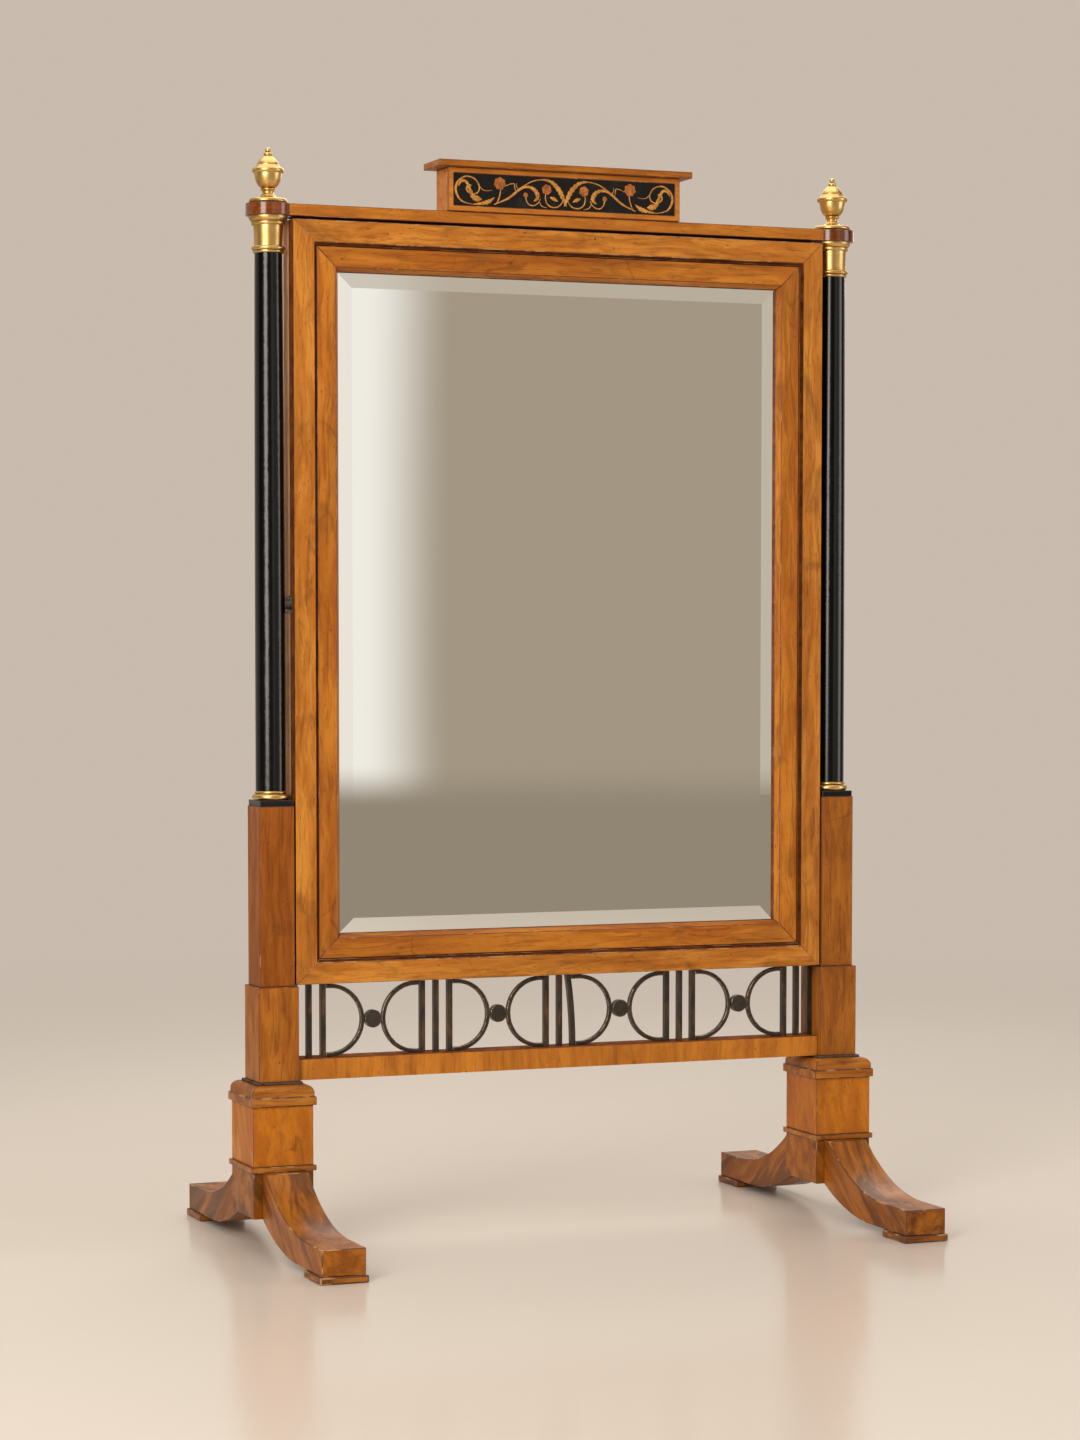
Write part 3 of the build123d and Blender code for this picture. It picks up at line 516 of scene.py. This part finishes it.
lacquer = black_lacquer()
gold = gilt()
steel = old_metal("pivot_steel", STEEL, STEEL_DARK)
plate_metal = old_metal("plate_metal", PLATE, PLATE_DARK)
plinth_wood = bare_wood("plinth_wood", *PLINTH)
fret_upright = dark_bronze("fret_upright", "Z", wear=0.75)
fret_curved = dark_bronze("fret_curved", "X", wear=0.3)
fret_round = dark_bronze("fret_round", "X", wear=0.1)
# Painted highlight: the fretwork's rounded arrises are paler than its body
fret_edge_highlight = old_metal("fret_painted_highlight", BRONZE_HIGHLIGHT, BRONZE)
lacquer_edge = worn_edge("lacquer_edge", LACQUER_WORN, paleness=0.5, knock_level=0.6)


def clothe_stand(side):
    """Legs, pedestal, posts and gilded column of one side; the left upper post is darker."""
    for end in ("front", "back"):
        clothe(f"{end}_leg_{side}", *wood(f"{end}_leg", "Y"), edge=LEG_EDGE)
    clothe(f"leg_block_{side}", *wood("leg", "Z"), edge=BLOCK_EDGE)
    clothe(f"pedestal_{side}", *wood("pedestal", "Z"), edge=BLOCK_EDGE)
    for piece in ("lower_fillet", "pedestal_cap"):
        clothe(f"{piece}_{side}", *wood("stand", "X"), edge=BLOCK_EDGE)
    clothe(f"lower_post_{side}", *wood("post", "Z"), edge=BLOCK_EDGE)
    upper_kind = "deep" if side == "left" else "post"
    clothe(f"upper_post_{side}", *wood(upper_kind, "Z"), edge=BLOCK_EDGE)
    clothe(f"post_plinth_{side}", plinth_wood, lacquer_edge, edge=PLINTH_EDGE)
    clothe(f"column_plinth_{side}", lacquer, lacquer_edge, edge=PLINTH_EDGE)
    clothe(f"rail_end_{side}", *wood("red", "X"), edge=RAIL_END_EDGE)
    clothe(f"column_{side}", lacquer)
    for piece in ("column_base", "capital", "finial"):
        clothe(f"{piece}_{side}", gold)
    clothe(f"pivot_pin_{side}", steel)
    clothe(f"pivot_plate_{side}", plate_metal)


def clothe_rails_and_fretwork():
    clothe("toe_pads", *wood("leg", "X"), edge=TOE_EDGE)
    for piece in ("top_rail", "crest_box", "crest_bead"):
        clothe(piece, *wood("rail", "X"), edge=BLOCK_EDGE)
    clothe("crest_top", *wood("post", "X"), edge=BLOCK_EDGE)
    clothe("bottom_rail", *wood("rail", "Z"), edge=BLOCK_EDGE)
    clothe("crest_panel", painted_panel())
    for piece, material in (("fret_rods", fret_upright), ("fret_half_rings", fret_curved),
                            ("fret_discs", fret_round)):
        clothe(piece, material, fret_edge_highlight, edge=FRET_EDGE)


def clothe_tilting_frame():
    for position in POSITIONS:
        grain = "Z" if position in SIDES else "X"
        for ring, kind in (("outer", "frame"), ("inner", "inner"), ("rear", "plain")):
            clothe(f"{ring}_frame_{position}", *wood(kind, grain), edge=FRAME_EDGE)
    clothe("back_board", *wood("plain", "Z"))
    clothe("back_cleats", *wood("plain", "X"), edge=CLEAT_EDGE)
    clothe("mirror_glass", mirror_silver())
    clothe("plate_screws", steel)


# How far a face's normal has to point a way, and how near a frame's side its middle lies
SQUARELY = 0.9
PARTLY = 0.3
SIDE_MARGIN = 0.0005
INWARD = {"left": Vector((1, 0, 0)), "right": Vector((-1, 0, 0)),
          "top": Vector((0, 0, -1)), "bottom": Vector((0, 0, 1))}


def faces_up(normal, centre):
    return normal.z > SQUARELY


def faces_down(normal, centre):
    return normal.z < -SQUARELY


def paint_light_and_shade_in_gaps():
    """Painted shade of darker wood on the faces inside the gaps round the frames, on the outer frames' sides
    and on the rails' faces that look into the gaps; painted light of paler wood on the rear frames' sides.
    """
    # Painted shade: dark wood in the gaps and grooves, in the rebates by the glass, under the top rail, on the
    # bottom rail's top and on the outer frames' sides
    gap_painted_shade = bare_wood("gap_painted_shade", *GAP_SHADE)
    groove_painted_shade = bare_wood("groove_painted_shade", *GROOVE_SHADE)
    rebate_painted_shade = bare_wood("rebate_painted_shade", *REBATE_SHADE)
    # Painted light: the rear frames' sides are paler than their wood, as they stand in the column's shade
    side_painted_light = polished_wood("side_painted_light", "Z", SIDE_TAN_PAINTED_LIGHT, smoke=0.25, gloss=0.5, coat=0.0)
    outer_side_x = abs(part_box("outer_frame_left")[0].x) - SIDE_MARGIN
    rear_side_x = abs(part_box("rear_frame_left")[0].x) - SIDE_MARGIN
    for position, inward in INWARD.items():
        repaint_faces(f"outer_frame_{position}", groove_painted_shade,
                      lambda normal, centre: normal.dot(inward) > PARTLY and normal.y < -PARTLY)
        repaint_faces(f"inner_frame_{position}", rebate_painted_shade,
                      lambda normal, centre: normal.dot(inward) > SQUARELY)
    repaint_faces("top_rail", gap_painted_shade, faces_down)
    repaint_faces("bottom_rail", rebate_painted_shade, faces_up)
    repaint_faces("outer_frame_top", gap_painted_shade, faces_up)
    repaint_faces("rear_frame_top", gap_painted_shade, faces_up)
    for side in SIDES:
        repaint_faces(f"rear_frame_{side}", side_painted_light,
                      lambda normal, centre: abs(centre.x) > rear_side_x)
        repaint_faces(f"outer_frame_{side}", gap_painted_shade,
                      lambda normal, centre: abs(centre.x) > outer_side_x)


for side in SIDES:
    clothe_stand(side)
clothe_rails_and_fretwork()
clothe_tilting_frame()
paint_light_and_shade_in_gaps()


def add_object(name, data):
    """A new object in the scene's own collection."""
    thing = bpy.data.objects.new(name, data)
    bpy.context.scene.collection.objects.link(thing)
    return thing


# Scrollwork of the crest in millimetres from the panel's middle: one half, which is then mirrored
MM = 0.001
SCROLL_RELIEF = 0.8
SCROLL_WEIGHT = 1.3
LEAF_WIDTH = 4.2
LEAF_NOTCH = 0.32
LEAF_NOTCH_STEP = 1.05
THINNEST_STROKE = 0.2
STROKE_STEEPNESS = 0.45
PATH_STEPS = 7
PETAL_STEPS = 8
PETAL_DEPTH = 0.16

# Section of a stroke as parts of its half width and height, and a flower's rings as parts of its
# radius and height
STROKE_SECTION = ((-1, 0), (-0.62, 0.7), (0, 1), (0.62, 0.7), (1, 0), (0, -0.15))
FLOWER_RINGS = ((1.0, 0.0), (0.92, 0.6), (0.76, 0.95), (0.64, 0.3), (0.54, 0.85), (0.4, 0.95),
                (0.3, 0.35), (0.2, 0.9), (0.08, 0.9))

# Points of each stroke, across, up and its width there
SCROLL_STROKES = {
    "main_stem": (
        (-128, -22.5, 1.2), (-104, -12, 3.0), (-88, 0, 3.4), (-75, 10, 2.2), (-59, 19, 1.6),
        (-40, 22.3, 2.2), (-24, 18.5, 6.0), (-11, 6, 8.5), (-3, -9, 6.5), (2, -20, 0.8)),
    "end_scroll": (
        (-166, -24, 0.7), (-186, -18.5, 2.4), (-195.5, -3, 3.6), (-192, 12, 3.4), (-178, 21.5, 2.4),
        (-162, 18, 2.0), (-154, 6, 2.0), (-157, -4, 2.0), (-167, -7, 2.0), (-176, -1, 2.4),
        (-174, 7, 3.2), (-168, 7, 1.2)),
    "scroll_leaf": (
        (-191, 5, 0.8), (-186, 13, 3.6), (-178, 13.5, 4.0), (-172, 4, 4.4), (-165, -11, 8.0),
        (-156, -14.5, 9.5), (-149, -15, 0.6)),
    "tendril": ((-154, 7, 1.4), (-148, 1, 1.2), (-140, -0.5, 1.0), (-131, 1, 0.5)),
    "base_leaf": ((-166, -24, 0.6), (-151, -22, 4.5), (-138, -18.5, 7.5), (-127, -11, 0.5)),
    "rose_stem": ((-116, 6, 1.3), (-117, -4, 1.6), (-120, -14, 1.8), (-124, -21, 1.2)),
    "rose_tendril": (
        (-107, 9, 1.2), (-99, 12.5, 1.2), (-92, 13, 1.5), (-91, 7, 1.2), (-89, 0, 0.8)),
    "hook_leaf": (
        (-94, -7, 0.8), (-85, 2, 2.6), (-73, 8.5, 3.2), (-61, 8, 5.5), (-52, 1, 7.5), (-50, -8, 6.0),
        (-57, -14, 0.8)),
    "bud_stem": (
        (-71, -7, 2.6), (-70, -14, 1.6), (-64, -20.5, 1.7), (-55, -20.5, 1.7), (-48, -15, 1.5),
        (-45, -9, 0.7)),
    "flower_stem": (
        (-35, 1, 1.2), (-36, -8, 1.6), (-33, -17, 1.8), (-24, -22.5, 1.9), (-13, -21, 1.8),
        (-6, -14, 1.5), (-4, -7, 0.7)),
    "small_leaf": ((-28, -6, 0.5), (-21, -8.5, 6.5), (-13, -12.5, 0.5)),
    "low_tendril": ((-47, -14, 1.1), (-43, -21, 1.3), (-33, -24, 0.6)),
    "spur": ((-84, 4, 1.4), (-88, 10, 1.1), (-87, 15, 0.5)),
}

# Each flower's place across and up, its radius and its number of petals
SCROLL_FLOWERS = ((-117.5, 12.5, 11.0, 7), (-33.5, 6.5, 9.0, 6), (-71.5, -4.5, 4.6, 5))


def smooth_path(values):
    """Catmull-Rom samples through tuples of numbers."""
    path = []
    last = len(values) - 1
    for index in range(last):
        before, start, end, after = (values[max(0, min(last, index + k))] for k in (-1, 0, 1, 2))
        for step in range(PATH_STEPS):
            t = step / PATH_STEPS
            path.append(tuple(
                0.5 * (2 * b + (c - a) * t + (2 * a - 5 * b + 4 * c - d) * t**2
                       + (3 * b - a - 3 * c + d) * t**3)
                for a, b, c, d in zip(before, start, end, after)))
    path.append(tuple(values[last]))
    return path


def join_rings(faces, first, rings, around):
    """Faces between rings of points that follow each other from the first index on."""
    for ring in range(rings - 1):
        row = first + ring * around
        for step in range(around):
            after = (step + 1) % around
            faces.append((row + step, row + after, row + around + after, row + around + step))


def ring_points(first, ring, around):
    """Indices of the points of one ring, which also close it as a face."""
    start = first + ring * around
    return tuple(range(start, start + around))


def add_stroke(points, faces, place, stroke):
    """A closed, domed ribbon along a stroke; place turns (u, v, height) into a point."""
    samples = smooth_path(stroke)
    first = len(points)
    for index, (u, v, width) in enumerate(samples):
        ahead = samples[min(index + 1, len(samples) - 1)]
        behind = samples[max(index - 1, 0)]
        run = Vector((ahead[0] - behind[0], ahead[1] - behind[1])).normalized()
        notch = LEAF_NOTCH * abs(math.sin(index * LEAF_NOTCH_STEP)) if width > LEAF_WIDTH else 0.0
        half = max(width, THINNEST_STROKE) * SCROLL_WEIGHT * (1 - notch) / 2
        height = min(SCROLL_RELIEF, STROKE_STEEPNESS * half)
        for across, up in STROKE_SECTION:
            points.append(place(u - run.y * across * half, v + run.x * across * half, up * height))
    around = len(STROKE_SECTION)
    join_rings(faces, first, len(samples), around)
    faces.append(ring_points(first, 0, around)[::-1])
    faces.append(ring_points(first, len(samples) - 1, around))


def add_flower(points, faces, place, u, v, radius, petals):
    """A closed rosette: an outer ring of petals, a hollow, an inner ring and a heart."""
    around = petals * PETAL_STEPS
    first = len(points)
    for size, height in FLOWER_RINGS:
        for step in range(around):
            angle = 2 * math.pi * step / around
            petal = 1 - PETAL_DEPTH + PETAL_DEPTH * abs(math.cos(petals * angle / 2 + size))
            reach = radius * size * petal
            points.append(place(u + reach * math.cos(angle), v + reach * math.sin(angle),
                                height * SCROLL_RELIEF))
    join_rings(faces, first, len(FLOWER_RINGS), around)
    faces.append(ring_points(first, len(FLOWER_RINGS) - 1, around))
    faces.append(ring_points(first, 0, around)[::-1])


def make_scrollwork():
    """Raised strokes and flowers on both halves of the crest's panel, as one piece."""
    low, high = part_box("crest_panel")
    middle_x = (low.x + high.x) / 2
    middle_z = (low.z + high.z) / 2
    points, faces = [], []
    flower_faces = set()
    for mirrored in (1, -1):
        def place(u, v, height):
            return (middle_x + mirrored * u * MM, low.y - height * MM, middle_z + v * MM)
        for stroke in SCROLL_STROKES.values():
            add_stroke(points, faces, place, stroke)
        stroke_faces = len(faces)
        for flower in SCROLL_FLOWERS:
            add_flower(points, faces, place, *flower)
        flower_faces.update(range(stroke_faces, len(faces)))
    mesh = bpy.data.meshes.new("crest_scrollwork")
    mesh.from_pydata(points, [], faces)
    scroll = add_object("crest_scrollwork", mesh)
    shape = bmesh.new()
    shape.from_mesh(mesh)
    bmesh.ops.recalc_face_normals(shape, faces=shape.faces)
    shape.to_mesh(mesh)
    shape.free()
    mesh.materials.append(inlay("gilt_inlay", INLAY_LIGHT, INLAY))
    mesh.materials.append(inlay("rose_inlay", ROSE_LIGHT, ROSE))
    for polygon in mesh.polygons:
        polygon.use_smooth = True
        polygon.material_index = int(polygon.index in flower_faces)
    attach(scroll, "stand")


make_scrollwork()

# Stage: a plain pale floor, which fades into the backdrop between two distances from the middle
FLOOR_REACH = 14.0
FLOOR_ROUGHNESS = 0.17
FLOOR_WARM = (0.64, 0.58, 0.525, 1)
FLOOR_PALE = (0.69, 0.635, 0.575, 1)
FLOOR_FADE = (1.3, 5.5)
BACKDROP = (0.58, 0.5, 0.42, 1)

# What the mirror shows of the studio: pale panels in front of it, and the room round them
PANEL_PALE = (0.95, 0.885, 0.79, 1)
PANEL_BRIGHT = (1.0, 0.95, 0.87, 1)
PANEL_SHADE = (0.425, 0.35, 0.265, 1)
PANEL_HIGH = (0.6, 0.52, 0.42, 1)
PANEL_LOW = (0.33, 0.27, 0.2, 1)
ROOM_DARK = (0.3, 0.27, 0.235, 1)
ROOM_SHADOW = (0.04, 0.034, 0.027, 1)
ROOM_HIGH = (0.47, 0.4, 0.31, 1)

# Where one gives way to the next, as from and to along a direction's east, north or up part
BRIGHT_EAST = (0.22, 0.27)
SHADE_EAST = (0.326, 0.35)
SIDE_EAST = (0.47, 0.5)
HIGH_UP = (0.13, 0.2)
HIGH_STRENGTH = 0.75
LOW_UP = (-0.047, -0.034)
ROOM_NORTH = (-0.8, -0.55)
ROOM_WEST = (0.1, -0.05)
CEILING_UP = (0.35, 0.75)
BEHIND_NORTH = (0.1, 0.4)

# Lamps: soft rectangles, with sizes and places in metres
LAMPS = {
    "key": {"place": (-3.4, -3.2, 2.35), "target": (0, 0, 0.9), "width": 1.9, "height": 3.8,
            "watts": 215, "colour": (1.0, 0.94, 0.85)},
    "fill": {"place": (4.4, -2.4, 1.7), "target": (0, 0, 0.9), "width": 1.9, "height": 3.2,
             "watts": 66, "colour": (1.0, 0.99, 0.97)},
    "above": {"place": (0, 0.4, 4.2), "target": (0, 0.4, 0), "width": 4.0, "height": 4.0,
              "watts": 96, "colour": (1.0, 0.96, 0.9)},
    "rim": {"place": (1.8, 3.0, 3.0), "target": (0, 0, 1.0), "width": 2.4, "height": 2.4,
            "watts": 45, "colour": (1.0, 0.95, 0.88)},
}


def floor_material():
    """Pale floor near the object; further out it glows like the backdrop, so that no edge shows."""
    material, tree, shader = new_material(
        "pale_floor", Specular_IOR_Level=0.5, Roughness=FLOOR_ROUGHNESS)
    cloud = tree.noise(tree.object_place(), 1.2)
    tree.set(shader.inputs["Base Color"], tree.mix(cloud, FLOOR_WARM, FLOOR_PALE))
    distance = tree.add("ShaderNodeVectorMath", operation="LENGTH")
    tree.set(distance.inputs[0], tree.add("ShaderNodeTexCoord").outputs["Object"])
    camera_ray = tree.add("ShaderNodeLightPath").outputs["Is Camera Ray"]
    glow = tree.add("ShaderNodeEmission", {
        "Color": tree.mix(camera_ray, PANEL_LOW, BACKDROP), "Strength": 1.0})
    blend = tree.add("ShaderNodeMixShader", {
        "Fac": tree.step(distance.outputs["Value"], *FLOOR_FADE)})
    tree.set(blend.inputs[1], shader.outputs["BSDF"])
    tree.set(blend.inputs[2], glow.outputs["Emission"])
    tree.set(material.node_tree.nodes["Material Output"].inputs["Surface"], blend.outputs["Shader"])
    return material


def make_floor():
    mesh = bpy.data.meshes.new("floor")
    corners = [(x * FLOOR_REACH, y * FLOOR_REACH, 0.0) for x, y in ((-1, -1), (1, -1), (1, 1), (-1, 1))]
    mesh.from_pydata(corners, [], [(0, 1, 2, 3)])
    floor = add_object("floor", mesh)
    mesh.materials.append(floor_material())


def make_lamp(name, place, target, width, height, watts, colour):
    light = bpy.data.lights.new(name, "AREA")
    light.shape = "RECTANGLE"
    light.size = width
    light.size_y = height
    light.energy = watts
    light.color = colour
    lamp = add_object(name, light)
    lamp.location = place
    lamp.rotation_euler = (Vector(target) - Vector(place)).to_track_quat("-Z", "Y").to_euler()


def make_world():
    """A plain backdrop for the camera; the mirror and the polish reflect the panels and the room."""
    world = bpy.data.worlds.new("studio")
    bpy.context.scene.world = world
    world.use_nodes = True
    tree = Tree(world.node_tree)
    background = world.node_tree.nodes["Background"]
    direction = tree.add("ShaderNodeTexCoord").outputs["Generated"]
    split = tree.add("ShaderNodeSeparateXYZ", {"Vector": direction})
    east, north, up = (split.outputs[axis] for axis in "XYZ")
    rays = tree.add("ShaderNodeLightPath").outputs

    panels = tree.mix(tree.step(east, *BRIGHT_EAST), PANEL_PALE, PANEL_BRIGHT)
    panels = tree.mix(tree.step(east, *SHADE_EAST), panels, PANEL_SHADE)
    panels = tree.mix(tree.step(up, *HIGH_UP, end=HIGH_STRENGTH), panels, PANEL_HIGH)
    panels = tree.mix(tree.step(east, *SIDE_EAST), panels, PANEL_HIGH)
    panels = tree.mix(tree.step(up, *LOW_UP), PANEL_LOW, panels)

    reflected_room = tree.mix(tree.step(up, *CEILING_UP), ROOM_SHADOW, ROOM_HIGH)
    room = tree.mix(rays["Is Glossy Ray"], ROOM_DARK, reflected_room)
    room = tree.mix(tree.step(north, *BEHIND_NORTH), room, BACKDROP)
    in_room = tree.math("MAXIMUM", tree.step(north, *ROOM_NORTH), tree.step(east, *ROOM_WEST))
    surround = tree.mix(in_room, panels, room)
    tree.set(background.inputs["Color"], tree.mix(rays["Is Camera Ray"], surround, BACKDROP))
    background.inputs["Strength"].default_value = 1.0


def make_camera():
    camera = bpy.data.cameras.new("camera")
    camera.lens = CAMERA_LENS
    camera.sensor_width = CAMERA_SENSOR
    camera.shift_y = CAMERA_SHIFT_Y
    camera.clip_end = CAMERA_REACH
    holder = add_object("camera", camera)
    holder.location = CAMERA_PLACE
    holder.rotation_euler = (math.pi / 2 - CAMERA_PITCH, 0.0, -CAMERA_YAW)
    bpy.context.scene.camera = holder


make_floor()
for lamp_name, lamp_values in LAMPS.items():
    make_lamp(lamp_name, **lamp_values)
make_world()
make_camera()
bpy.context.scene.view_settings.view_transform = "Standard"
